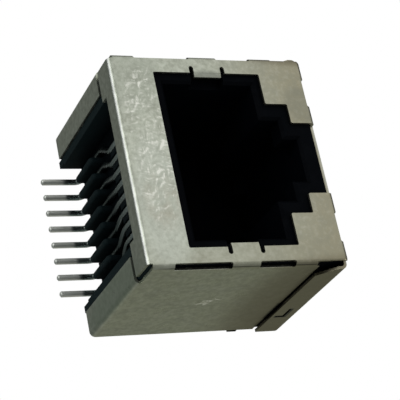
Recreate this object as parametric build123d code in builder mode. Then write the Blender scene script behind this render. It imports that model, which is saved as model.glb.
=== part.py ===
from build123d import *
import os

# A shielded eight-way modular jack for a circuit board, with side entry.
# X runs across the port, Y runs from the front face into the jack, Z runs away from the board.
# The origin lies on the board plane, in line with the front face, midway across the port.

# Body round the plug port
cheek = 2.07
roof_stock = 1.55
cover_depth = 12.6
side_inset = 0.7

# Shield sheet
sheet = 0.2
inner_bend = 0.2
outer_bend = inner_bend + sheet
fitting_gap = 0.05
overrun = 2.0

# Plug port in the moulding
port_width = 11.86
port_floor = 3.9
port_height = 6.75
port_stock = 1.3
latch_width = 6.3
latch_height = 1.5
hook_width = 3.3
hook_height = 1.15
ledge_depth = 1.5
hook_stock = 2.3
mouth_chamfer = 0.2

# Opening that the shield leaves around the port
side_margin = 0.69
floor_margin = 0.73
roof_margin = 0.59
step_side_margin = 1.09
step_roof_margin = 0.78
stamped_corner = 0.12

# Spring tabs at the sides of the opening
tab_width = 2.03
tab_reach = 0.31
tab_notch = 0.33
tab_notch_depth = 0.52
tab_curl = 2.2
tab_pocket_gap = 0.2
tab_pocket_depth = 0.9

# Slots along the bends, between the bridges that join the walls to the front face
slot_face_inset = 0.3
slot_wall_inset = 0.48
side_slot_shares = ((0.132, 0.411), (0.548, 0.7275))
side_corner_share = 0.8385
roof_slot_shares = (0.515, 0.8)
face_corner_inset = 0.2

# Lip and flanges on the board side
lip_depth = 1.36
lip_tab_depth = 2.1
lip_tab_width = 2.34
lip_end_inset = 0.34
flange_gap = 0.38

# Strips of the roof that fold down outside the side walls
strip_gap = 0.03
strip_height = 1.99
seam_width = 0.19
strip_front = 0.55
strip_slant = 1.1
strip_shoulder = 0.65
strip_inset = 0.7
slit_width = 0.2
slit_inset = 2.82
slit_leg = 0.74
slit_length = 1.48
slit_drop = 0.97

# Rear cover, folded down from the roof
cover_side_inset = 0.6
cover_rise = 2.4
cover_corner = 0.6

# Contact wires
contact_count = 8
wire_diameter = 0.44
pin_pitch = 1.27
spring_pitch = 1.016
pin_inset = 0.15
pin_length = 1.48
pin_point = 0.09
wire_level = 1.53
pin_bend = 0.5
pin_run = 5.15
fan_length = 1.35
fan_bend = 1.0
nose_row = 1.25
nose_level = 3.55
nose_bend = 0.85
tip_overlap = 0.45
spring_level = 6.6

# Contact carrier
carrier_gap = 0.06
wire_gap = 0.03
carrier_nose = 0.28
nose_fillet = 0.7
carrier_floor = 1.62
carrier_wall = 0.85
carrier_wall_height = 6.6
fin_thickness = 0.5
fin_length = 3.4
fin_inset = 1.3
fin_drop = 1.2
fin_fillet = 0.3
fin_edge = 0.2
guide_thickness = 0.36
guide_front_gap = 1.07
guide_rear_gap = 0.35
guide_drop = 0.4
comb_depth = 1.1
comb_height = 3.8
comb_slot = 0.6
comb_cheek = 0.6

# Moulded housing
crossbar_depth = 0.65
nose_rib_length = 0.5
nose_rib_rise = 1.2
nose_rib_top = 3.6
bay_room = 0.925
foot_width = 0.63
foot_rise = 0.12
pin_room = 1.06
foot_gap = 0.08
foot_front_gap = 0.2
housing_edge = 0.25
lug_height = 0.7
lug_level = 10.7
lug_reach = 0.25
lug_depth = 0.27
lug_gap = 0.03

# Places worked out from the sizes above
pin_span = (contact_count - 1) * pin_pitch
window_half = pin_span / 2 + bay_room
foot_outer = window_half + foot_width
flange_inner = foot_outer + foot_gap
body_width = port_width + 2 * cheek
half_width = body_width / 2
port_middle = port_floor + port_height / 2
port_roof = port_floor + port_height
latch_roof = port_roof + latch_height
hook_roof = latch_roof + hook_height
body_height = hook_roof + roof_stock
side_depth = cover_depth - side_inset
strip_depth = cover_depth - strip_inset
slit_rear = strip_depth - slit_inset
cover_half = half_width - cover_side_inset
rear_trim = cover_depth - side_depth + overrun
port_depth = cover_depth - port_stock
hook_depth = port_depth - hook_stock
opening_floor = port_floor - floor_margin
opening_roof = port_roof + roof_margin
opening_half = port_width / 2 + side_margin
step_half = latch_width / 2 + step_side_margin
step_roof = latch_roof + step_roof_margin
notch_half = hook_width / 2 + step_side_margin
strip_bottom = body_height - strip_height
strip_half = half_width + strip_gap + sheet
side_top = strip_bottom - seam_width
flange_front = lip_tab_depth + flange_gap
housing_half = half_width - sheet - fitting_gap
housing_front = sheet + fitting_gap
housing_bottom = sheet + fitting_gap
housing_top = body_height - sheet - fitting_gap
housing_rear = cover_depth - sheet - fitting_gap
wire_radius = wire_diameter / 2
carrier_bottom = wire_level + wire_radius + wire_gap
carrier_front = nose_row + carrier_nose
carrier_top = carrier_bottom + carrier_floor
carrier_roof = carrier_bottom + carrier_wall_height
carrier_rear = housing_rear - fitting_gap
carrier_half = window_half - carrier_gap
window_roof = carrier_roof + carrier_gap
comb_rear = carrier_rear - carrier_wall
comb_front = comb_rear - comb_depth
spring_reach = comb_front + tip_overlap
pin_row = cover_depth - pin_inset
fan_rear = pin_row - pin_run
fan_front = fan_rear - fan_length
fin_rear = carrier_rear - fin_inset
fin_front = fin_rear - fin_length
guide_front = carrier_front + guide_front_gap
guide_rear = fan_front - guide_rear_gap
comb_half = (contact_count - 1) * spring_pitch / 2 + comb_slot / 2 + comb_cheek
fin_bottom = carrier_bottom - fin_drop


def span(low_x, high_x, low_y, high_y, mode=Mode.ADD):
    """Draw a rectangle between two opposite corners."""
    with Locations(((low_x + high_x) / 2, (low_y + high_y) / 2)):
        Rectangle(high_x - low_x, high_y - low_y, mode=mode)


def row(count, pitch):
    """Give the places of a centred row."""
    return [(index - (count - 1) / 2) * pitch for index in range(count)]


# Inside of the folded sheet, which rounds the inner side of each bend
with BuildPart() as shield_core:
    with BuildSketch(Plane.XY.offset(sheet)):
        span(sheet - half_width, half_width - sheet, sheet, cover_depth - sheet)
    extrude(amount=body_height - 2 * sheet)
    fillet(shield_core.edges(), radius=inner_bend)

# Shield: one stamped and folded sheet
with BuildPart() as shield:
    with BuildSketch(Plane.XY):
        span(-half_width, half_width, 0, cover_depth)
    extrude(amount=body_height)
    fillet(shield.edges(), radius=outer_bend)
    add(shield_core.part, mode=Mode.SUBTRACT)

    # Stepped opening in the front face, which breaks through its upper edge
    with BuildSketch(Plane.XZ) as opening:
        span(-opening_half, opening_half, opening_floor, opening_roof)
        span(-step_half, step_half, opening_floor, step_roof)
        span(-notch_half, notch_half, opening_floor, body_height + overrun)
        fillet(opening.vertices().group_by(Axis.Y)[:-1], radius=stamped_corner)
    extrude(amount=-slot_wall_inset, mode=Mode.SUBTRACT)

    # Relief notches beside each spring tab, and the room that the tab leaves
    with BuildSketch(Plane.XZ):
        for side in (-1, 1):
            for end in (-1, 1):
                notch_level = port_middle + end * (tab_width + tab_notch) / 2
                with Locations((side * opening_half, notch_level)):
                    SlotOverall(2 * tab_notch_depth, tab_notch)
    extrude(amount=-slot_wall_inset, mode=Mode.SUBTRACT)

    # Spring tabs, which curl into the port
    with BuildSketch(Plane.XY.offset(port_middle - tab_width / 2)):
        tab_root = opening_half + tab_notch_depth / 2
        tab_tip = opening_half - tab_reach
        tab_run = tab_root - tab_tip
        for side in (-1, 1):
            with BuildLine():
                outer = RadiusArc(
                    (side * tab_root, 0),
                    (side * tab_tip, tab_curl - (tab_curl**2 - tab_run**2) ** 0.5),
                    side * tab_curl,
                )
                Line(outer @ 1, outer @ 1 + Vector(0, sheet))
                RadiusArc(outer @ 1 + Vector(0, sheet), (side * tab_root, sheet), -side * tab_curl)
                Line((side * tab_root, sheet), (side * tab_root, 0))
            make_face()
    extrude(amount=tab_width)

    # Slots in the bends beside the front face, and its open upper corners
    slot_levels = [(low * body_height, high * body_height) for low, high in side_slot_shares]
    with BuildSketch(Plane.XZ):
        for low, high in slot_levels:
            for side in (-1, 1):
                with Locations((side * half_width, (low + high) / 2)):
                    RectangleRounded(2 * slot_face_inset, high - low, stamped_corner)
        for side in (-1, 1):
            slot_low, slot_high = (share * half_width for share in roof_slot_shares)
            with Locations((side * (slot_low + slot_high) / 2, body_height)):
                RectangleRounded(slot_high - slot_low, 2 * slot_face_inset, stamped_corner)
    extrude(amount=-slot_wall_inset, mode=Mode.SUBTRACT)
    with BuildSketch(Plane.XZ):
        for side in (-1, 1):
            with Locations((side * half_width, body_height)):
                Rectangle(2 * face_corner_inset, 2 * (1 - side_corner_share) * body_height)
    extrude(amount=-slot_wall_inset, mode=Mode.SUBTRACT)

    # Upper edges of the side walls, open up to the roof
    for side in (-1, 1):
        with BuildSketch(Plane.YZ.offset(side * (half_width - outer_bend))):
            span(sheet, cover_depth + overrun, side_top, body_height + overrun)
        extrude(amount=side * overrun, mode=Mode.SUBTRACT)

    # Strips of the roof, one sheet outside the side walls, with slanted front ends
    with BuildSketch(Plane.XZ.offset(-strip_front)) as roof_fold:
        span(-strip_half, strip_half, strip_bottom, body_height)
        fillet(roof_fold.vertices().group_by(Axis.Y)[-1], radius=outer_bend)
        span(sheet - strip_half, strip_half - sheet, strip_bottom, body_height - sheet, Mode.SUBTRACT)
        fillet(roof_fold.vertices().group_by(Axis.Y)[-2], radius=inner_bend)
    extrude(amount=strip_front - strip_depth)
    slant_outline = [
        (strip_front, strip_bottom),
        (strip_front + strip_slant, strip_bottom),
        (strip_front, body_height - strip_shoulder),
    ]
    for side in (-1, 1):
        with BuildSketch(Plane.YZ.offset(side * half_width)):
            with BuildLine():
                Polyline(*slant_outline, close=True)
            make_face()
        extrude(amount=side * overrun, mode=Mode.SUBTRACT)

    # Rear edges of the side walls and of the strips
    with BuildSketch(Plane.XZ.offset(-side_depth)):
        for side in (-1, 1):
            wall_edges = sorted((side * flange_inner, side * (half_width + overrun)))
            span(*wall_edges, -overrun, strip_bottom)
    extrude(amount=-rear_trim, mode=Mode.SUBTRACT)
    with BuildSketch(Plane.XZ.offset(-strip_depth)):
        for side in (-1, 1):
            strip_edges = sorted((side * cover_half, side * (half_width + overrun)))
            span(*strip_edges, side_top, body_height + overrun)
    extrude(amount=-overrun, mode=Mode.SUBTRACT)

    # Lower edge of the rear cover
    with BuildSketch(Plane.XZ.offset(-side_depth)):
        span(-half_width, half_width, -overrun, cover_rise)
    extrude(amount=-rear_trim, mode=Mode.SUBTRACT)
    with BuildSketch(Plane.XZ.offset(outer_bend - cover_depth)):
        for side in (-1, 1):
            cover_edges = sorted((side * cover_half, side * (half_width + overrun)))
            span(*cover_edges, cover_rise, body_height - outer_bend)
    extrude(amount=-overrun, mode=Mode.SUBTRACT)
    cover_corners = (
        shield.edges()
        .filter_by(Axis.Y)
        .filter_by_position(Axis.Z, cover_rise - fitting_gap, cover_rise + fitting_gap)
    )
    fillet(cover_corners, radius=cover_corner)

    # Open board side, between the lip and the two flanges
    with BuildSketch(Plane.XY):
        span(-flange_inner, flange_inner, lip_tab_depth, cover_depth + overrun)
        tab_inner = half_width - lip_end_inset - lip_tab_width
        span(-tab_inner, tab_inner, lip_depth, lip_tab_depth)
        span(-half_width - overrun, half_width + overrun, lip_tab_depth, flange_front)
        for side in (-1, 1):
            corner_edges = sorted((side * (half_width - lip_end_inset), side * (half_width + overrun)))
            span(*corner_edges, 0, flange_front)
    extrude(amount=outer_bend, mode=Mode.SUBTRACT)

    # Angled lance slit near the rear end of each strip
    with BuildSketch(Plane.YZ):
        slit_level = body_height - slit_drop
        span(slit_rear - slit_length, slit_rear, slit_level - slit_width, slit_level)
        span(slit_rear - slit_width, slit_rear, slit_level - slit_leg, slit_level)
    extrude(amount=half_width + overrun, both=True, mode=Mode.SUBTRACT)
shield.part.label = "shield"

# Housing: one black moulding around the plug port
with BuildPart() as housing:
    with BuildSketch(Plane.XY.offset(housing_bottom)):
        span(-housing_half, housing_half, housing_front, housing_rear)
    extrude(amount=housing_top - housing_bottom)
    fillet(housing.edges(), radius=housing_edge)

    # Feet between the flanges
    with BuildSketch(Plane.XY.offset(foot_rise)):
        for side in (-1, 1):
            foot_edges = sorted((side * foot_outer, side * (foot_outer - foot_width)))
            span(*foot_edges, lip_tab_depth + foot_front_gap, housing_rear)
    extrude(amount=housing_bottom + housing_edge - foot_rise)

    # Lugs that catch the rear edges of the side walls
    with BuildSketch(Plane.XZ.offset(-side_depth - lug_gap)):
        for side in (-1, 1):
            lug_edges = sorted((side * (housing_half - lug_reach), side * (housing_half + lug_reach)))
            span(*lug_edges, lug_level, lug_level + lug_height)
    extrude(amount=-lug_depth)

    # Plug port, latch notch and the ledge that the latch hooks behind
    with BuildSketch(Plane.XZ.offset(-housing_front)) as port_mouth:
        span(-port_width / 2, port_width / 2, port_floor, port_roof)
        span(-latch_width / 2, latch_width / 2, port_floor, latch_roof)
        span(-hook_width / 2, hook_width / 2, port_floor, hook_roof)
    extrude(amount=housing_front - port_depth, mode=Mode.SUBTRACT)
    with BuildSketch(Plane.XZ.offset(-housing_front - ledge_depth)):
        span(-latch_width / 2, latch_width / 2, port_floor, hook_roof)
    extrude(amount=housing_front + ledge_depth - hook_depth, mode=Mode.SUBTRACT)
    mouth_edges = housing.faces().sort_by(Axis.Y)[0].inner_wires().edges()
    chamfer(mouth_edges, length=mouth_chamfer)

    # Pockets behind the shield's spring tabs
    with BuildSketch(Plane.XZ.offset(-housing_front)):
        for side in (-1, 1):
            pocket_edges = sorted((side * port_width / 2, side * (opening_half + tab_notch_depth)))
            pocket_half = tab_width / 2 + tab_pocket_gap
            span(*pocket_edges, port_middle - pocket_half, port_middle + pocket_half)
    extrude(amount=-tab_pocket_depth, mode=Mode.SUBTRACT)

    # Window in the floor and rear wall, which takes the contact carrier
    window_front = housing_front + crossbar_depth
    with BuildSketch(Plane.XY.offset(foot_rise)):
        span(-window_half, window_half, window_front, housing_rear + overrun)
    extrude(amount=port_floor - foot_rise, mode=Mode.SUBTRACT)
    with BuildSketch(Plane.XZ.offset(-port_depth)):
        span(-window_half, window_half, foot_rise, window_roof)
    extrude(amount=-overrun, mode=Mode.SUBTRACT)

    # Room round the end pins, cut from the rear ends of the feet
    with BuildSketch(Plane.XY.offset(foot_rise)):
        room_half = pin_span / 2 + pin_room
        span(-room_half, room_half, pin_row - pin_room, housing_rear + overrun)
    extrude(amount=carrier_bottom - foot_rise, mode=Mode.SUBTRACT)

    # Ribs on the crossbar, between the noses of the contact wires
    with BuildSketch(Plane.XZ.offset(-window_front)):
        for place in row(contact_count - 1, spring_pitch):
            span(place - guide_thickness / 2, place + guide_thickness / 2, nose_rib_rise, nose_rib_top)
    extrude(amount=-nose_rib_length)
housing.part.label = "housing"

# Contact carrier: one black moulding that holds the eight wires
with BuildPart() as contact_carrier:
    with BuildSketch(Plane.YZ) as carrier_section:
        span(carrier_front, carrier_rear, carrier_bottom, carrier_top)
        fillet(carrier_section.vertices().group_by(Axis.X)[0], radius=nose_fillet)
        span(carrier_rear - carrier_wall, carrier_rear, carrier_bottom, carrier_roof)
    extrude(amount=carrier_half, both=True)

    # Comb that keeps the spring tips apart
    with BuildSketch(Plane.XY.offset(carrier_top)):
        span(-comb_half, comb_half, comb_front, comb_rear)
    extrude(amount=comb_height)
    with BuildSketch(Plane.XY.offset(carrier_top)):
        for place in row(contact_count, spring_pitch):
            span(place - comb_slot / 2, place + comb_slot / 2, comb_front, comb_rear)
    extrude(amount=comb_height, mode=Mode.SUBTRACT)

    # Fins between the wires at the rear, with rounded ends and edges
    for place in row(contact_count - 1, pin_pitch):
        with BuildSketch(Plane.YZ.offset(place)) as fin_section:
            span(fin_front, fin_rear, fin_bottom, carrier_bottom + fitting_gap)
            fillet(fin_section.vertices().group_by(Axis.Y)[0], radius=fin_fillet)
        extrude(amount=fin_thickness / 2, both=True)
    fillet(contact_carrier.edges().filter_by(Axis.Y).group_by(Axis.Z)[0], radius=fin_edge)

    # Low guides between the wires at the front
    with BuildSketch(Plane.XY.offset(carrier_bottom - guide_drop)):
        for place in row(contact_count - 1, spring_pitch):
            span(place - guide_thickness / 2, place + guide_thickness / 2, guide_front, guide_rear)
    extrude(amount=guide_drop + fitting_gap)
contact_carrier.part.label = "contact_carrier"

# Contacts: eight wires, each a solder pin, a fanned run, a nose and a spring
contacts = []
for pin_place, spring_place in zip(row(contact_count, pin_pitch), row(contact_count, spring_pitch)):
    with BuildPart() as contact:
        with BuildLine() as wire_path:
            FilletPolyline(
                (pin_place, pin_row, -pin_length),
                (pin_place, pin_row, wire_level),
                (pin_place, fan_rear, wire_level),
                (spring_place, fan_front, wire_level),
                (spring_place, nose_row, wire_level),
                (spring_place, nose_row, nose_level),
                (spring_place, spring_reach, spring_level),
                radius=[pin_bend, fan_bend, fan_bend, nose_bend, nose_bend],
            )
        with BuildSketch(Plane(wire_path.line @ 0, z_dir=wire_path.line % 0)):
            Circle(wire_radius)
        sweep(path=wire_path.line)
        chamfer(contact.faces().sort_by(Axis.Z)[0].edges(), length=pin_point)
    contacts.append(contact)

os.makedirs("parts", exist_ok=True)
export_step(shield.part, "parts/shield.step")
export_step(housing.part, "parts/housing.step")
export_step(contact_carrier.part, "parts/contact_carrier.step")
for number, contact in enumerate(contacts, start=1):
    contact.part.label = f"contact_{number}"
    export_step(contact.part, f"parts/contact_{number}.step")
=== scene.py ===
"""Looks of a shielded modular board jack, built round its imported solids.

Lengths are in metres in the jack's own frame: X across the port, Y from the front face into the
jack, and Z away from the circuit board.
"""

import logging
from dataclasses import dataclass, fields
from enum import Enum

import bmesh
import bpy
from mathutils import Matrix, Vector

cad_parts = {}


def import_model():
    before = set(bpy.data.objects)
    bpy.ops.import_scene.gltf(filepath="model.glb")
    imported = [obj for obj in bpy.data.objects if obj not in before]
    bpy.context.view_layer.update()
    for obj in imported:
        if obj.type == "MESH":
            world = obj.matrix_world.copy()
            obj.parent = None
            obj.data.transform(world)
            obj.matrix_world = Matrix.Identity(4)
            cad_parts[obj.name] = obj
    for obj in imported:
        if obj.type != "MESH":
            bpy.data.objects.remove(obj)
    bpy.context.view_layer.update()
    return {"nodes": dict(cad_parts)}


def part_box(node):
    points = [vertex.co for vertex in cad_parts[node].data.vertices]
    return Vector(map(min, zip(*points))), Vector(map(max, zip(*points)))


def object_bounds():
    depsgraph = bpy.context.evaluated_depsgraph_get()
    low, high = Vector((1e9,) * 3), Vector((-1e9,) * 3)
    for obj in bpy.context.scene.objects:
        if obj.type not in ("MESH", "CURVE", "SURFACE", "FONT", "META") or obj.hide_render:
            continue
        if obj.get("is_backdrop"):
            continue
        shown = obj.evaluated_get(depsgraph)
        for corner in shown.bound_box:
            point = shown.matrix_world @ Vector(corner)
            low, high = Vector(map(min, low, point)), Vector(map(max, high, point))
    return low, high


LOG = logging.getLogger("board_jack")
MM = 0.001

Colour = tuple[float, float, float, float]
Triple = tuple[float, float, float]
Socket = bpy.types.NodeSocket


def mm(*lengths: float) -> tuple[float, ...]:
    """Turn millimetres into metres.

    Args:
        *lengths: Lengths in millimetres.

    Returns:
        The same lengths in metres.
    """
    return tuple(length * MM for length in lengths)


class Slot(Enum):
    """Material slots of the jack's record, one for each finish."""

    SHEET = "nickel_sheet"
    HOUSING = "black_moulding"
    CARRIER = "carrier_moulding"
    WIRE = "contact_wire"


class Bench:
    """Places and joins shader nodes in one node tree."""

    def __init__(self, tree: bpy.types.NodeTree) -> None:
        """Start work on a node tree.

        Args:
            tree: The tree that the nodes go into.
        """
        self.tree = tree

    def add(self, kind: str, **settings: object) -> bpy.types.Node:
        """Add a node.

        Args:
            kind: The node's Blender type name.
            **settings: Properties to set on the node.

        Returns:
            The new node.
        """
        node = self.tree.nodes.new(kind)
        for name, value in settings.items():
            setattr(node, name, value)
        return node

    def join(self, value: object, socket: Socket) -> None:
        """Set or link one input.

        Args:
            value: A plain value or an output socket.
            socket: The input.
        """
        if isinstance(value, Socket):
            self.tree.links.new(value, socket)
        else:
            socket.default_value = value

    def feed(self, node: bpy.types.Node, **values: object) -> bpy.types.Node:
        """Set or link a node's inputs by name.

        Args:
            node: The node whose inputs are fed.
            **values: A plain value or an output socket for each input, with _ for a space.

        Returns:
            The same node.
        """
        for name, value in values.items():
            self.join(value, node.inputs[name.replace("_", " ")])
        return node

    def sum(self, operation: str, *values: object, clamp: bool = False) -> Socket:
        """Work out a number from others.

        Args:
            operation: The Math node's operation.
            *values: Numbers or sockets, in order.
            clamp: Whether the result is kept between 0 and 1.

        Returns:
            The result's socket.
        """
        node = self.add("ShaderNodeMath", operation=operation, use_clamp=clamp)
        for value, socket in zip(values, node.inputs):
            self.join(value, socket)
        return node.outputs[0]

    def vector(self, operation: str, *values: object) -> bpy.types.Node:
        """Work out a vector from others.

        Args:
            operation: The Vector Math node's operation.
            *values: Vectors or sockets, in order.

        Returns:
            The Vector Math node.
        """
        node = self.add("ShaderNodeVectorMath", operation=operation)
        for value, socket in zip(values, node.inputs):
            self.join(value, socket)
        return node

    def ramp(self, value: Socket, start: float, end: float, first: float, last: float) -> Socket:
        """Carry a value smoothly from one range to another.

        Args:
            value: The socket that is read.
            start: Where the source range starts.
            end: Where the source range ends.
            first: The result at the start.
            last: The result at the end.

        Returns:
            The result's socket.
        """
        node = self.add("ShaderNodeMapRange", interpolation_type="SMOOTHSTEP")
        for number, socket in zip((value, start, end, first, last), node.inputs):
            self.join(number, socket)
        return node.outputs[0]

    def blend(self, factor: object, first: object, second: object) -> Socket:
        """Mix two colours.

        Args:
            factor: How much of the second colour shows.
            first: A colour or a socket.
            second: A colour or a socket.

        Returns:
            The mixed colour's socket.
        """
        node = self.add("ShaderNodeMix", data_type="RGBA")
        used = (socket for socket in node.inputs if socket.enabled)
        for value, socket in zip((factor, first, second), used):
            self.join(value, socket)
        return next(socket for socket in node.outputs if socket.enabled)

    def call(self, group: bpy.types.NodeTree, **values: object) -> Socket:
        """Place a node group.

        Args:
            group: The group's tree.
            **values: Its inputs, as feed takes them.

        Returns:
            The group's first output.
        """
        node = self.feed(self.add("ShaderNodeGroup", node_tree=group), **values)
        return node.outputs[0]


class Effects:
    """Shader node groups that the finishes share."""

    noise_low = 0.3
    noise_high = 0.7
    cloud_roughness = 0.6
    line_detail = 2.0
    line_roughness = 0.55
    line_middle = 0.5
    break_shift = (3.1, 1.7, 2.3)
    break_scale = 0.6
    break_level = 0.75
    break_gain = 8.0
    skin_roughness = 0.62
    skin_distortion = 0.9
    patch_core = 0.55
    block_core = 0.75

    def __init__(self) -> None:
        """Build each group once."""
        self.mottle = self._mottle()
        self.hairlines = self._hairlines()
        self.patch = self._patch()
        self.crinkle = self._crinkle()
        self.block = self._block()

    @staticmethod
    def _start(
        name: str, vectors: tuple[str, ...], floats: tuple[str, ...], output: str
    ) -> tuple[Bench, dict[str, Socket], bpy.types.Node]:
        """Open a group with named inputs and one output.

        Args:
            name: The group's name.
            vectors: The names of its vector inputs.
            floats: The names of its number inputs.
            output: The output's name.

        Returns:
            The bench, the inputs' sockets by name and the group's output node.
        """
        tree = bpy.data.node_groups.new(name, "ShaderNodeTree")
        for title in vectors:
            tree.interface.new_socket(title, in_out="INPUT", socket_type="NodeSocketVector")
        for title in floats:
            tree.interface.new_socket(title, in_out="INPUT", socket_type="NodeSocketFloat")
        tree.interface.new_socket(output, in_out="OUTPUT", socket_type="NodeSocketFloat")
        bench = Bench(tree)
        sockets = bench.add("NodeGroupInput").outputs
        given = {title: sockets[title] for title in vectors + floats}
        return bench, given, bench.add("NodeGroupOutput")

    def _mottle(self) -> bpy.types.NodeTree:
        """Build soft cloudy variation.

        Returns:
            The group, which puts out a value between Low and High.
        """
        numbers = ("Scale", "Detail", "Low", "High")
        bench, given, result = self._start("mottle", ("Place",), numbers, "Value")
        noise = bench.add("ShaderNodeTexNoise")
        bench.feed(noise, Vector=given["Place"], Scale=given["Scale"], Detail=given["Detail"])
        bench.feed(noise, Roughness=self.cloud_roughness)
        spread = bench.ramp(noise.outputs[0], self.noise_low, self.noise_high, 0.0, 1.0)
        reach = bench.sum("SUBTRACT", given["High"], given["Low"])
        bench.join(bench.sum("MULTIPLY_ADD", spread, reach, given["Low"]), result.inputs[0])
        return bench.tree

    def _hairlines(self) -> bpy.types.NodeTree:
        """Build fine broken lines, such as rubs and drawing marks.

        Returns:
            The group, which puts out 1 on a line and 0 beside it.
        """
        vectors, numbers = ("Place", "Stretch"), ("Scale", "Width", "Cover")
        bench, given, result = self._start("hairlines", vectors, numbers, "Line")
        drawn = bench.vector("MULTIPLY", given["Place"], given["Stretch"]).outputs[0]
        noise = bench.add("ShaderNodeTexNoise")
        bench.feed(noise, Vector=drawn, Scale=given["Scale"])
        bench.feed(noise, Detail=self.line_detail, Roughness=self.line_roughness)
        off = bench.sum("SUBTRACT", noise.outputs[0], self.line_middle)
        off = bench.sum("DIVIDE", bench.sum("ABSOLUTE", off), given["Width"])
        line = bench.sum("SUBTRACT", 1.0, off, clamp=True)
        shifted = bench.vector("ADD", given["Place"], self.break_shift).outputs[0]
        coarse = bench.sum("MULTIPLY", given["Scale"], self.break_scale)
        breaks = bench.feed(bench.add("ShaderNodeTexNoise"), Vector=shifted, Scale=coarse)
        level = bench.sum("SUBTRACT", self.break_level, given["Cover"])
        shown = bench.sum("SUBTRACT", breaks.outputs[0], level)
        shown = bench.sum("MULTIPLY", shown, self.break_gain, clamp=True)
        bench.join(bench.sum("MULTIPLY", line, shown), result.inputs[0])
        return bench.tree

    def _crinkle(self) -> bpy.types.NodeTree:
        """Build the flanks of a finely crumpled skin, which give its bumps and the painted
        highlights and painted shade on its ridges.

        Returns:
            The group, which puts out above 0 on one flank of each ridge and below 0 on the other.
        """
        vectors, numbers = ("Place", "Shift"), ("Scale", "Detail", "Gain")
        bench, given, result = self._start("crinkle", vectors, numbers, "Flank")
        moved = bench.vector("ADD", given["Place"], given["Shift"]).outputs[0]
        heights = []
        for spot in (given["Place"], moved):
            noise = bench.add("ShaderNodeTexNoise")
            bench.feed(noise, Vector=spot, Scale=given["Scale"], Detail=given["Detail"])
            bench.feed(noise, Roughness=self.skin_roughness, Distortion=self.skin_distortion)
            heights.append(noise.outputs[0])
        flank = bench.sum("MULTIPLY", bench.sum("SUBTRACT", *heights), given["Gain"])
        bench.join(flank, result.inputs[0])
        return bench.tree

    def _patch(self) -> bpy.types.NodeTree:
        """Build a soft egg-shaped mask round a place.

        Returns:
            The group, which puts out 1 in the middle of the patch and 0 outside it.
        """
        vectors = ("Place", "Centre", "Reach")
        bench, given, result = self._start("patch", vectors, (), "Mask")
        off = bench.vector("SUBTRACT", given["Place"], given["Centre"]).outputs[0]
        share = bench.vector("DIVIDE", off, given["Reach"]).outputs[0]
        far = bench.vector("LENGTH", share).outputs["Value"]
        bench.join(bench.ramp(far, self.patch_core, 1.0, 1.0, 0.0), result.inputs[0])
        return bench.tree

    def _block(self) -> bpy.types.NodeTree:
        """Build a box-shaped mask round a place, for a change of tone that keeps to one edge or
        cut, such as painted shade in a gap or the lighter bend.

        Returns:
            The group, which puts out 1 inside the box and 0 outside it.
        """
        vectors = ("Place", "Centre", "Reach")
        bench, given, result = self._start("block", vectors, (), "Mask")
        off = bench.vector("SUBTRACT", given["Place"], given["Centre"]).outputs[0]
        share = bench.vector("DIVIDE", off, given["Reach"]).outputs[0]
        share = bench.vector("ABSOLUTE", share).outputs[0]
        x, y, z = bench.feed(bench.add("ShaderNodeSeparateXYZ"), Vector=share).outputs
        far = bench.sum("MAXIMUM", bench.sum("MAXIMUM", x, y), z)
        bench.join(bench.ramp(far, self.block_core, 1.0, 1.0, 0.0), result.inputs[0])
        return bench.tree


@dataclass(frozen=True)
class Mottle:
    """Soft cloudy variation between two values."""

    scale: float
    detail: float
    low: float
    high: float


@dataclass(frozen=True)
class Hairlines:
    """Fine broken lines."""

    stretch: Triple
    scale: float
    width: float
    cover: float


@dataclass(frozen=True)
class Crinkle:
    """Flanks of a crumpled skin, for bumps and for painted highlights and painted shade."""

    shift: Triple
    scale: float
    detail: float
    gain: float


@dataclass(frozen=True)
class Patch:
    """An egg-shaped mask round a place."""

    centre: Triple
    reach: Triple


@dataclass(frozen=True)
class Block:
    """A box-shaped mask round a place."""

    centre: Triple
    reach: Triple


Effect = Mottle | Hairlines | Crinkle | Patch | Block


@dataclass(frozen=True)
class Stain:
    """A soft change of tone round one place on a surface."""

    area: Patch
    share: float
    tone: Colour


class Finish:
    """A material on the Principled shader, read by Object coordinates."""

    def __init__(self, slot: Slot, effects: Effects) -> None:
        """Make the empty material.

        Args:
            slot: The record's slot that the finish belongs to.
            effects: The shared node groups.
        """
        self.effects = effects
        self.material = bpy.data.materials.new(slot.value)
        self.material.use_nodes = True
        self.bench = Bench(self.material.node_tree)
        self.shader = self.material.node_tree.nodes["Principled BSDF"]
        self.place = self.bench.add("ShaderNodeTexCoord").outputs["Object"]
        parts = self.bench.feed(self.bench.add("ShaderNodeSeparateXYZ"), Vector=self.place)
        self.x, self.y, self.z = parts.outputs

    def lay(self, effect: Effect, place: Socket | None = None) -> Socket:
        """Place a shared effect, whose settings feed the group's inputs of the same names.

        Args:
            effect: The effect's settings.
            place: The coordinates that it reads, if they aren't the plain Object coordinates.

        Returns:
            The effect's socket.
        """
        group = getattr(self.effects, type(effect).__name__.lower())
        values = {field.name.capitalize(): getattr(effect, field.name) for field in fields(effect)}
        return self.bench.call(group, Place=self.place if place is None else place, **values)

    def relief(self, height: Socket, strength: float, distance: float) -> None:
        """Raise the surface with a Bump node.

        Args:
            height: The height's socket.
            strength: The share of the bump that shows.
            distance: The bump's full height.
        """
        bump = self.bench.add("ShaderNodeBump")
        self.bench.feed(bump, Height=height, Strength=strength, Distance=distance)
        self.bench.feed(self.shader, Normal=bump.outputs[0])


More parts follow.
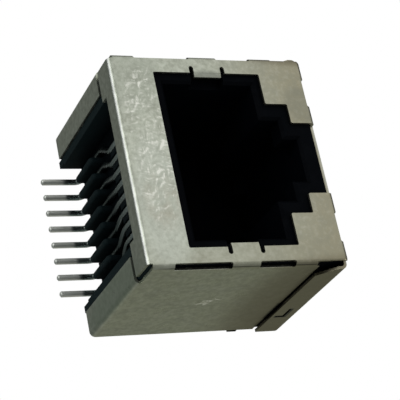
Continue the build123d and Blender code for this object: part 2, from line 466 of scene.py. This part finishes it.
@dataclass(frozen=True)
class NickelSheet:
    """Bright nickel plate on thin sheet, with handling marks, painted highlights and painted
    shade.
    """

    height: float = 14.85 * MM

    # Plate tones, from the board up to the roof
    board_tone: Colour = (0.455, 0.485, 0.405, 1.0)
    roof_tone: Colour = (0.3, 0.28, 0.195, 1.0)
    roof_start_share: float = 0.35
    top_tone: Colour = (0.42, 0.42, 0.35, 1.0)
    top_start: float = 0.2 * MM
    top_end: float = 0.04 * MM

    # Fine variation of the plate
    cloud_tone: Colour = (0.33, 0.34, 0.29, 1.0)
    cloud: Mottle = Mottle(scale=420.0, detail=3.0, low=0.0, high=0.16)
    dull_tone: Colour = (0.27, 0.28, 0.23, 1.0)
    speck: Mottle = Mottle(scale=900.0, detail=4.0, low=-0.12, high=0.34)
    pepper: Mottle = Mottle(scale=2700.0, detail=5.0, low=-0.46, high=0.46)
    pepper_roof_loss: float = 0.6
    pepper_light: float = 0.5

    # Creases beside the port and over the whole sheet: bumps, with painted highlights on one flank
    # of each ridge and painted shade on the other
    band: Patch = Patch(centre=mm(-1.2, 0.0, 2.0), reach=mm(7.6, 0.9, 2.0))
    band_share: Mottle = Mottle(scale=330.0, detail=1.0, low=0.4, high=1.1)
    fold: Crinkle = Crinkle(shift=mm(0.12, 0.0, 0.09), scale=1300.0, detail=5.0, gain=7.0)
    bloom: Mottle = Mottle(scale=640.0, detail=2.5, low=-0.5, high=0.62)
    fine: Crinkle = Crinkle(shift=mm(0.05, 0.04, 0.03), scale=3600.0, detail=3.0, gain=1.5)
    fold_light: float = 1.2
    fine_light: float = 0.4
    least_light: float = 0.1
    crease_shade: float = 0.3

    # Rubs and painted highlights: the rub tone also lights the crease flanks, and a slanted
    # painted glint on the side wall stands in for a small lanced tab catching light
    rub_tone: Colour = (0.74, 0.75, 0.68, 1.0)
    rub: Hairlines = Hairlines(stretch=(1.0, 0.35, 1.3), scale=900.0, width=0.012, cover=0.12)
    rub_share: float = 0.04
    smear: Patch = Patch(centre=mm(8.0, 6.1, 6.7), reach=mm(0.6, 0.36, 1.1))
    smear_slant: float = 0.42
    smear_wobble: Mottle = Mottle(scale=1300.0, detail=3.0, low=-0.3 * MM, high=0.3 * MM)
    smear_breaks: Mottle = Mottle(scale=3000.0, detail=3.0, low=0.0, high=1.5)
    smear_haze: float = 0.15

    # Tarnish, copper, flecks, worn places, the lighter bend (edge wear and painted highlight) and
    # painted shade at single places
    tarnish_tone: Colour = (0.12, 0.1, 0.06, 1.0)
    tarnish: Patch = Patch(centre=mm(8.2, 6.0, 15.0), reach=mm(1.2, 14.0, 7.5))
    tarnish_share: float = 0.58
    copper_tone: Colour = (0.3, 0.24, 0.17, 1.0)
    copper: Patch = Patch(centre=mm(3.2, 0.0, 2.0), reach=mm(2.6, 1.0, 1.6))
    copper_cloud: Mottle = Mottle(scale=800.0, detail=3.0, low=0.0, high=0.35)
    fleck: Mottle = Mottle(scale=2900.0, detail=3.0, low=-0.25, high=0.3)
    fleck_area: Patch = Patch(centre=mm(3.6, 0.0, 1.8), reach=mm(6.0, 0.9, 2.8))
    # The front-bottom bend is lighter: edge wear, with a painted highlight that whitens the lamp's
    # line there
    bend_tone: Colour = (0.55, 0.56, 0.55, 1.0)
    bend: Block = Block(centre=mm(0.0, 0.0, 0.0), reach=mm(9.5, 0.3, 0.17))
    bend_share: float = 0.7
    stains: tuple[Stain, ...] = (
        # The darker, warmer +X end of the front face
        Stain(
            area=Patch(centre=mm(9.0, 0.0, 9.0), reach=mm(4.2, 0.9, 11.0)),
            share=0.4,
            tone=(0.27, 0.255, 0.18, 1.0),
        ),
        # Painted shade on the tab on the -X side, standing in for the shade of its curl
        Stain(
            area=Patch(centre=mm(-6.0, 0.1, 7.275), reach=mm(1.0, 1.4, 2.0)),
            share=0.68,
            tone=(0.17, 0.18, 0.155, 1.0),
        ),
        # The bright part of the band below the port
        Stain(
            area=Patch(centre=mm(3.4, 0.0, 1.9), reach=mm(6.4, 0.9, 2.2)),
            share=0.55,
            tone=(0.53, 0.565, 0.495, 1.0),
        ),
        # The dull -X end of that band
        Stain(
            area=Patch(centre=mm(-6.2, 0.0, 1.2), reach=mm(3.4, 0.9, 3.0)),
            share=0.3,
            tone=(0.3, 0.33, 0.275, 1.0),
        ),
        # The -X lobe beside the latch notch
        Stain(
            area=Patch(centre=mm(-4.2, 0.0, 14.0), reach=mm(1.9, 0.9, 1.6)),
            share=0.4,
            tone=(0.2, 0.2, 0.155, 1.0),
        ),
        # The +X flange on the board side: painted shade, with a greener tint
        Stain(
            area=Patch(centre=mm(7.2, 6.5, 0.0), reach=mm(1.6, 6.5, 0.4)),
            share=0.5,
            tone=(0.26, 0.33, 0.24, 1.0),
        ),
    )

    # Painted shade in the gaps on both sides: the wall under the slit, the slit's two arms, the
    # side slots' edge
    gap_tone: Colour = (0.01, 0.01, 0.009, 1.0)
    cuts: tuple[Block, ...] = (
        Block(centre=mm(8.0, 8.34, 13.5), reach=mm(0.12, 1.6, 1.1)),
        Block(centre=mm(8.2, 8.34, 13.88), reach=mm(0.2, 0.9, 0.2)),
        Block(centre=mm(8.2, 8.98, 13.51), reach=mm(0.2, 0.2, 0.5)),
        Block(centre=mm(7.85, 0.48, 7.4), reach=mm(0.145, 0.3, 7.0)),
    )

    # Roughness and relief
    haze: Mottle = Mottle(scale=900.0, detail=4.0, low=0.27, high=0.4)
    grain: Mottle = Mottle(scale=5200.0, detail=3.0, low=0.0, high=0.35)
    fold_relief: float = 0.3
    relief_strength: float = 0.35
    relief_height: float = 0.006 * MM

    def build(self, effects: Effects) -> bpy.types.Material:
        """Build the plated finish.

        Args:
            effects: The shared node groups.

        Returns:
            The finished material.
        """
        finish = Finish(Slot.SHEET, effects)
        bench = finish.bench
        tone = self._stained(finish, self._plate(finish))

        fold = bench.sum("MAXIMUM", finish.lay(self.bloom), 0.0)
        fold = bench.sum("ADD", finish.lay(self.fold), fold)
        crease_area = bench.sum("MULTIPLY", finish.lay(self.band), finish.lay(self.band_share))
        fold = bench.sum("MULTIPLY", fold, crease_area)
        fine = finish.lay(self.fine)
        # Painted highlights: the light flank of each crease, the rubs and the side-wall glint
        light = bench.sum("MULTIPLY_ADD", fold, self.fold_light, -self.least_light)
        light = bench.sum("MULTIPLY_ADD", fine, self.fine_light, light)
        light = bench.sum("MULTIPLY_ADD", finish.lay(self.rub), self.rub_share, light)
        # Painted glint on the side wall
        smear = self._smear(finish)
        light = bench.sum("ADD", bench.sum("MAXIMUM", light, 0.0), smear, clamp=True)
        tone = bench.blend(light, tone, self.rub_tone)
        # Painted shade on the dark flank of each crease
        shade = bench.sum("ADD", fold, fine)
        shade = bench.sum("MULTIPLY", shade, -self.crease_shade, clamp=True)
        tone = bench.blend(shade, tone, self.dull_tone)

        rough = bench.sum("MULTIPLY_ADD", smear, self.smear_haze, finish.lay(self.haze))
        height = bench.sum("MULTIPLY_ADD", fold, self.fold_relief, finish.lay(self.grain))
        finish.relief(height, self.relief_strength, self.relief_height)
        bench.feed(finish.shader, Base_Color=tone, Roughness=rough, Metallic=1.0)
        return finish.material

    def _plate(self, finish: Finish) -> Socket:
        """Colour the clean plate, which is warmer and calmer towards the roof.

        Args:
            finish: The material in the making.

        Returns:
            The colour's socket.
        """
        bench, height = finish.bench, self.height
        warm = bench.ramp(finish.z, self.roof_start_share * height, height, 0.0, 1.0)
        tone = bench.blend(warm, self.board_tone, self.roof_tone)
        top = bench.ramp(finish.z, height - self.top_start, height - self.top_end, 0.0, 1.0)
        tone = bench.blend(top, tone, self.top_tone)
        tone = bench.blend(finish.lay(self.cloud), tone, self.cloud_tone)
        speck = bench.sum("MAXIMUM", finish.lay(self.speck), 0.0)
        tone = bench.blend(speck, tone, self.dull_tone)
        calm = bench.sum("MULTIPLY_ADD", warm, -self.pepper_roof_loss, 1.0)
        pepper = bench.sum("MULTIPLY", finish.lay(self.pepper), calm)
        tone = bench.blend(bench.sum("MAXIMUM", pepper, 0.0), tone, self.dull_tone)
        pale = bench.sum("MULTIPLY", pepper, -self.pepper_light, clamp=True)
        return bench.blend(pale, tone, self.rub_tone)

    def _smear(self, finish: Finish) -> Socket:
        """Mask the small slanted painted highlight on the side wall, a glint standing in for a
        lanced tab catching light.

        Args:
            finish: The material in the making.

        Returns:
            The mask's socket.
        """
        bench = finish.bench
        rise = bench.sum("SUBTRACT", finish.z, self.smear.centre[2])
        wobble = finish.lay(self.smear_wobble)
        slant = bench.sum("MULTIPLY_ADD", rise, self.smear_slant, wobble)
        slanted = bench.add("ShaderNodeCombineXYZ")
        bench.feed(slanted, X=finish.x, Y=bench.sum("ADD", finish.y, slant), Z=finish.z)
        spot = finish.lay(self.smear, slanted.outputs[0])
        broken = bench.sum("MINIMUM", finish.lay(self.smear_breaks), 1.0)
        return bench.sum("MULTIPLY", spot, broken)

    def _stained(self, finish: Finish, tone: Socket) -> Socket:
        """Add the tarnish, the copper, the flecks, the stained places, the painted shade on the
        tab and flange, the lighter bend with its painted highlight and the painted shade in the
        gaps.

        Args:
            finish: The material in the making.
            tone: The plate's colour so far.

        Returns:
            The stained and shaded colour's socket.
        """
        bench = finish.bench
        mirrored = bench.vector("ABSOLUTE", finish.place).outputs[0]
        share = bench.sum("MULTIPLY", finish.lay(self.tarnish, mirrored), self.tarnish_share)
        tone = bench.blend(share, tone, self.tarnish_tone)
        # Tone changes at single places, with painted shade on the -X tab and the +X flange
        for stain in self.stains:
            share = bench.sum("MULTIPLY", finish.lay(stain.area), stain.share)
            tone = bench.blend(share, tone, stain.tone)
        share = bench.sum("MULTIPLY", finish.lay(self.copper), finish.lay(self.copper_cloud))
        tone = bench.blend(share, tone, self.copper_tone)
        fleck = bench.sum("MAXIMUM", finish.lay(self.fleck), 0.0)
        fleck = bench.sum("MULTIPLY", fleck, finish.lay(self.fleck_area))
        tone = bench.blend(fleck, tone, self.dull_tone)
        # Lighter front-bottom bend: edge wear and painted highlight
        share = bench.sum("MULTIPLY", finish.lay(self.bend), self.bend_share)
        tone = bench.blend(share, tone, self.bend_tone)
        # Painted shade in the gaps and under the slit
        dark = 0.0
        for cut in self.cuts:
            dark = bench.sum("MAXIMUM", finish.lay(cut, mirrored), dark)
        return bench.blend(dark, tone, self.gap_tone)


@dataclass(frozen=True)
class BlackMoulding:
    """Black glass-filled moulding with a fine matt skin."""

    slot: Slot
    rough: Mottle = Mottle(scale=1400.0, detail=3.0, low=0.5, high=0.68)
    specular: float = 0.022
    tone: Colour = (0.0006, 0.001, 0.0018, 1.0)
    scuff_tone: Colour = (0.0018, 0.0028, 0.004, 1.0)
    cloud: Mottle = Mottle(scale=520.0, detail=4.0, low=0.0, high=0.22)
    scuff: Hairlines = Hairlines(stretch=(1.4, 0.4, 1.0), scale=700.0, width=0.01, cover=0.12)
    scuff_share: float = 0.4
    dust_tone: Colour = (0.0065, 0.0125, 0.0135, 1.0)
    dust_share: float = 0.8
    dust_start: float = 0.1 * MM
    dust_end: float = 2.4 * MM
    grain: Mottle = Mottle(scale=9000.0, detail=2.0, low=0.0, high=1.0)
    relief_strength: float = 0.3
    relief_height: float = 0.008 * MM

    def build(self, effects: Effects) -> bpy.types.Material:
        """Build the moulded finish.

        Args:
            effects: The shared node groups.

        Returns:
            The finished material.
        """
        finish = Finish(self.slot, effects)
        bench = finish.bench
        worn = bench.sum("MULTIPLY", finish.lay(self.scuff), self.scuff_share)
        worn = bench.sum("ADD", finish.lay(self.cloud), worn, clamp=True)
        tone = bench.blend(worn, self.tone, self.scuff_tone)
        dust = bench.ramp(finish.z, self.dust_start, self.dust_end, self.dust_share, 0.0)
        tone = bench.blend(dust, tone, self.dust_tone)
        finish.relief(finish.lay(self.grain), self.relief_strength, self.relief_height)
        bench.feed(finish.shader, Base_Color=tone, Roughness=finish.lay(self.rough))
        bench.feed(finish.shader, Specular_IOR_Level=self.specular)
        return finish.material


@dataclass(frozen=True)
class PlatedWire:
    """Drawn copper-alloy wire with bright tin on the pins and a gold flash on the springs, with
    painted shade on its run inside the jack and a painted glint at the noses.
    """

    tin_tone: Colour = (0.78, 0.8, 0.76, 1.0)
    # The nose tone is a painted glint at the front and the plain tone at the rear; the dull and
    # shade tone gives the pins' cloudy tone and the painted shade along the run
    nose_tone: Colour = (0.37, 0.43, 0.42, 1.0)
    dull_tone: Colour = (0.08, 0.1, 0.1, 1.0)
    gold_tone: Colour = (0.78, 0.58, 0.27, 1.0)
    cloud: Mottle = Mottle(scale=700.0, detail=1.0, low=0.0, high=0.12)
    body_level: float = 0.4 * MM
    run_start: float = 3.2 * MM
    run_end: float = 7.8 * MM
    rear_start: float = 10.6 * MM
    rear_end: float = 11.8 * MM
    rear_share: float = 0.8
    gold_level: float = 3.3 * MM
    gold_rise: float = 0.35 * MM
    gold_edge: Mottle = Mottle(scale=1100.0, detail=2.0, low=-0.05 * MM, high=0.05 * MM)
    rough: Mottle = Mottle(scale=900.0, detail=1.0, low=0.5, high=0.6)
    body_gloss: float = 0.28
    gold_haze: float = 0.2
    drawn: Hairlines = Hairlines(stretch=(1.0, 0.06, 0.1), scale=4000.0, width=0.09, cover=0.3)
    relief_strength: float = 0.06
    relief_height: float = 0.001 * MM

    def build(self, effects: Effects) -> bpy.types.Material:
        """Build the plated wire finish.

        Args:
            effects: The shared node groups.

        Returns:
            The finished material.
        """
        finish = Finish(Slot.WIRE, effects)
        bench = finish.bench
        pin_tone = bench.blend(finish.lay(self.cloud), self.tin_tone, self.dull_tone)
        # Painted shade along the wires' run in the recess; the noses keep a lighter tone as a
        # painted glint, and the rear goes back to it
        depth = bench.ramp(finish.y, self.run_start, self.run_end, 0.0, 1.0)
        run_tone = bench.blend(depth, self.nose_tone, self.dull_tone)
        rear = bench.ramp(finish.y, self.rear_start, self.rear_end, 0.0, self.rear_share)
        run_tone = bench.blend(rear, run_tone, self.nose_tone)
        inside = bench.ramp(finish.z, 0.0, self.body_level, 0.0, 1.0)
        tone = bench.blend(inside, pin_tone, run_tone)
        level = bench.sum("ADD", finish.z, finish.lay(self.gold_edge))
        gilt = bench.ramp(level, self.gold_level, self.gold_level + self.gold_rise, 0.0, 1.0)
        tone = bench.blend(gilt, tone, self.gold_tone)
        rough = bench.sum("MULTIPLY_ADD", inside, -self.body_gloss, finish.lay(self.rough))
        rough = bench.sum("MULTIPLY_ADD", gilt, self.gold_haze, rough)
        finish.relief(finish.lay(self.drawn), self.relief_strength, self.relief_height)
        bench.feed(finish.shader, Base_Color=tone, Roughness=rough, Metallic=1.0)
        return finish.material


@dataclass
class Dresser:
    """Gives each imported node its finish."""

    nodes: dict[str, bpy.types.Object]

    def dress(self, name: str, material: bpy.types.Material) -> None:
        """Put a finish on a node.

        Args:
            name: The node's name.
            material: The finish.
        """
        node = self.nodes[name]
        node.data.materials.clear()
        node.data.materials.append(material)
        low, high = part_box(name)
        size = " x ".join(f"{edge / MM:.2f}" for edge in high - low)
        LOG.info("%s: %s mm, finish %s", name, size, material.name)


@dataclass
class FoldedShield:
    """The stamped and folded sheet round the jack."""

    finish: NickelSheet = NickelSheet()

    def build(self, dresser: Dresser, effects: Effects) -> None:
        """Dress the sheet.

        Args:
            dresser: The nodes' dresser.
            effects: The shared node groups.
        """
        dresser.dress("shield", self.finish.build(effects))


@dataclass
class Mouldings:
    """The housing and the contact carrier."""

    housing: BlackMoulding = BlackMoulding(Slot.HOUSING)
    carrier: BlackMoulding = BlackMoulding(
        Slot.CARRIER, rough=Mottle(scale=1400.0, detail=3.0, low=0.4, high=0.58)
    )

    def build(self, dresser: Dresser, effects: Effects) -> None:
        """Dress both mouldings.

        Args:
            dresser: The nodes' dresser.
            effects: The shared node groups.
        """
        dresser.dress("housing", self.housing.build(effects))
        dresser.dress("contact_carrier", self.carrier.build(effects))


@dataclass
class ContactRow:
    """The row of formed wires."""

    count: int = 8
    finish: PlatedWire = PlatedWire()

    def build(self, dresser: Dresser, effects: Effects) -> None:
        """Dress every wire with one finish.

        Args:
            dresser: The nodes' dresser.
            effects: The shared node groups.
        """
        material = self.finish.build(effects)
        for number in range(1, self.count + 1):
            dresser.dress(f"contact_{number}", material)


@dataclass(frozen=True)
class Lamp:
    """A soft square studio lamp."""

    name: str
    place: Triple
    width: float
    power: float
    tint: Triple = (1.0, 1.0, 1.0)
    target: Triple = mm(0.0, 6.0, 7.0)

    def build(self) -> None:
        """Hang the lamp and turn it to its target."""
        data = bpy.data.lights.new(self.name, "AREA")
        data.shape = "SQUARE"
        data.size = self.width
        data.energy = self.power
        data.color = self.tint
        lamp = bpy.data.objects.new(self.name, data)
        place = Vector(self.place)
        turn = (Vector(self.target) - place).to_track_quat("-Z", "Y")
        lamp.matrix_world = Matrix.Translation(place) @ turn.to_matrix().to_4x4()
        lamp.visible_camera = False
        bpy.context.scene.collection.objects.link(lamp)
        LOG.info("lamp %s: %.3f W", self.name, self.power)


@dataclass(frozen=True)
class Card:
    """A soft-edged card of the surround, which metal shows where it faces it.

    The card fades in from edge to core, both cosines of the angle to its middle.
    """

    toward: Triple
    edge: float
    core: float
    shade: Colour


@dataclass
class Studio:
    """Camera, floor, lamps and the pale surround."""

    camera_place: Triple = mm(43.070, -81.971, -36.903)
    camera_right: Triple = (0.19177, -0.36747, 0.91005)
    camera_down: Triple = (0.89633, 0.44327, -0.00989)
    camera_forward: Triple = (-0.39977, 0.81760, 0.41438)
    sensor: float = 36.0
    lens: float = 136.27
    shift: tuple[float, float] = (0.00175, -0.0066)
    nearest: float = 1.0 * MM

    floor_reach: float = 0.6
    floor_sides: int = 96
    floor_gap: float = 0.05 * MM
    floor_tone: Colour = (0.8, 0.8, 0.79, 1.0)
    floor_roughness: float = 0.9
    floor_specular: float = 0.1

    lamps: tuple[Lamp, ...] = (
        Lamp(name="key", place=(0.2, -0.26, 0.42), width=0.16, power=0.5, tint=(1.0, 0.99, 0.97)),
        Lamp(name="under", place=(-0.076, -0.0855, -0.152), width=0.16, power=0.14),
    )

    white: Colour = (1.0, 1.0, 1.0, 1.0)
    soft_strength: float = 0.8
    ground_shade: Colour = (0.14, 0.155, 0.145, 1.0)
    sky_shade: Colour = (0.25, 0.255, 0.24, 1.0)
    ground_end: float = -0.8
    sky_start: float = 0.4
    cards: tuple[Card, ...] = (
        Card(toward=(-0.5, -0.8, 0.33), edge=0.58, core=0.9, shade=(0.95, 0.95, 0.94, 1.0)),
        Card(toward=(0.4, 0.82, 0.41), edge=0.72, core=0.92, shade=(0.233, 0.24, 0.185, 1.0)),
        Card(toward=(0.35, 0.1, 0.93), edge=0.8, core=0.95, shade=(0.62, 0.62, 0.6, 1.0)),
        Card(toward=(0.85, 0.5, -0.15), edge=0.85, core=0.97, shade=(0.5, 0.5, 0.48, 1.0)),
        Card(toward=(-0.4, 0.15, 0.9), edge=0.9, core=0.97, shade=(0.1, 0.1, 0.095, 1.0)),
    )

    def build(self) -> None:
        """Set up everything round the jack."""
        self._camera()
        self._floor()
        self._surround()
        for lamp in self.lamps:
            lamp.build()
        bpy.context.scene.view_settings.view_transform = "Standard"

    def _camera(self) -> None:
        """Place the camera where the picture was taken from."""
        data = bpy.data.cameras.new("camera")
        data.sensor_width = self.sensor
        data.lens = self.lens
        data.shift_x, data.shift_y = self.shift
        data.clip_start = self.nearest
        camera = bpy.data.objects.new("camera", data)
        right, down = Vector(self.camera_right), Vector(self.camera_down)
        turn = Matrix((right, -down, -Vector(self.camera_forward))).transposed()
        camera.matrix_world = Matrix.Translation(Vector(self.camera_place)) @ turn.to_4x4()
        bpy.context.scene.collection.objects.link(camera)
        bpy.context.scene.camera = camera

    def _floor(self) -> None:
        """Lay a pale floor under the pins, which only shows from above."""
        shape = bmesh.new()
        sides = self.floor_sides
        bmesh.ops.create_circle(shape, cap_ends=True, radius=self.floor_reach, segments=sides)
        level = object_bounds()[0][2] - self.floor_gap
        bmesh.ops.translate(shape, vec=(0.0, 0.0, level), verts=shape.verts)
        mesh = bpy.data.meshes.new("floor")
        shape.to_mesh(mesh)
        shape.free()
        floor = bpy.data.objects.new("floor", mesh)
        bpy.context.scene.collection.objects.link(floor)
        floor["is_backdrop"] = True
        mesh.materials.append(self._floor_finish())

    def _floor_finish(self) -> bpy.types.Material:
        """Build the floor's finish, clear to metal and to a camera below it.

        Returns:
            The finished material.
        """
        material = bpy.data.materials.new("floor")
        material.use_nodes = True
        bench = Bench(material.node_tree)
        shader = material.node_tree.nodes["Principled BSDF"]
        output = material.node_tree.nodes["Material Output"]
        bench.feed(shader, Base_Color=self.floor_tone, Roughness=self.floor_roughness)
        bench.feed(shader, Specular_IOR_Level=self.floor_specular)
        path = bench.add("ShaderNodeLightPath").outputs
        above = bench.add("ShaderNodeNewGeometry").outputs["Backfacing"]
        above = bench.sum("SUBTRACT", 1.0, above)
        seen = bench.sum("MAXIMUM", path["Is Camera Ray"], path["Is Transmission Ray"])
        seen = bench.sum("MULTIPLY", seen, above)
        clear = bench.add("ShaderNodeBsdfTransparent").outputs[0]
        self._choose(bench, seen, clear, shader.outputs[0], output)
        return material

    def _surround(self) -> None:
        """Make the surround white to the camera and a soft studio to metal."""
        world = bpy.context.scene.world or bpy.data.worlds.new("surround")
        bpy.context.scene.world = world
        world.use_nodes = True
        world.node_tree.nodes.clear()
        bench = Bench(world.node_tree)
        output = bench.add("ShaderNodeOutputWorld")
        ray = bench.add("ShaderNodeTexCoord").outputs["Generated"]
        height = bench.feed(bench.add("ShaderNodeSeparateXYZ"), Vector=ray).outputs[2]
        height = bench.ramp(height, self.ground_end, self.sky_start, 0.0, 1.0)
        studio = bench.blend(height, self.ground_shade, self.sky_shade)
        for card in self.cards:
            near = bench.vector("DOT_PRODUCT", ray, card.toward).outputs["Value"]
            share = bench.ramp(near, card.edge, card.core, 0.0, 1.0)
            studio = bench.blend(share, studio, card.shade)
        path = bench.add("ShaderNodeLightPath").outputs
        camera = path["Is Camera Ray"]
        mirrored = bench.sum("MAXIMUM", path["Is Glossy Ray"], path["Is Transmission Ray"])
        seen = bench.sum("MAXIMUM", mirrored, camera)
        soft = bench.add("ShaderNodeBackground")
        bench.feed(soft, Color=self.white, Strength=self.soft_strength)
        shown = bench.add("ShaderNodeBackground")
        bench.feed(shown, Color=bench.blend(camera, studio, self.white), Strength=1.0)
        self._choose(bench, seen, soft.outputs[0], shown.outputs[0], output)

    @staticmethod
    def _choose(
        bench: Bench, factor: Socket, first: Socket, second: Socket, output: bpy.types.Node
    ) -> None:
        """Mix two shaders into an output node.

        Args:
            bench: The bench that both shaders are on.
            factor: How much of the second shader shows.
            first: The first shader's socket.
            second: The second shader's socket.
            output: The material's or the world's output node.
        """
        mix = bench.add("ShaderNodeMixShader")
        for value, socket in zip((factor, first, second), mix.inputs):
            bench.join(value, socket)
        bench.join(mix.outputs[0], output.inputs["Surface"])


def main() -> None:
    """Load the frame, dress the jack and set the studio round it."""
    logging.basicConfig(level=logging.INFO, format="%(message)s")
    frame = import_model()
    Studio().build()
    effects = Effects()
    dresser = Dresser(frame["nodes"])
    for assembly in (FoldedShield(), Mouldings(), ContactRow()):
        assembly.build(dresser, effects)


if __name__ == "__main__":
    main()
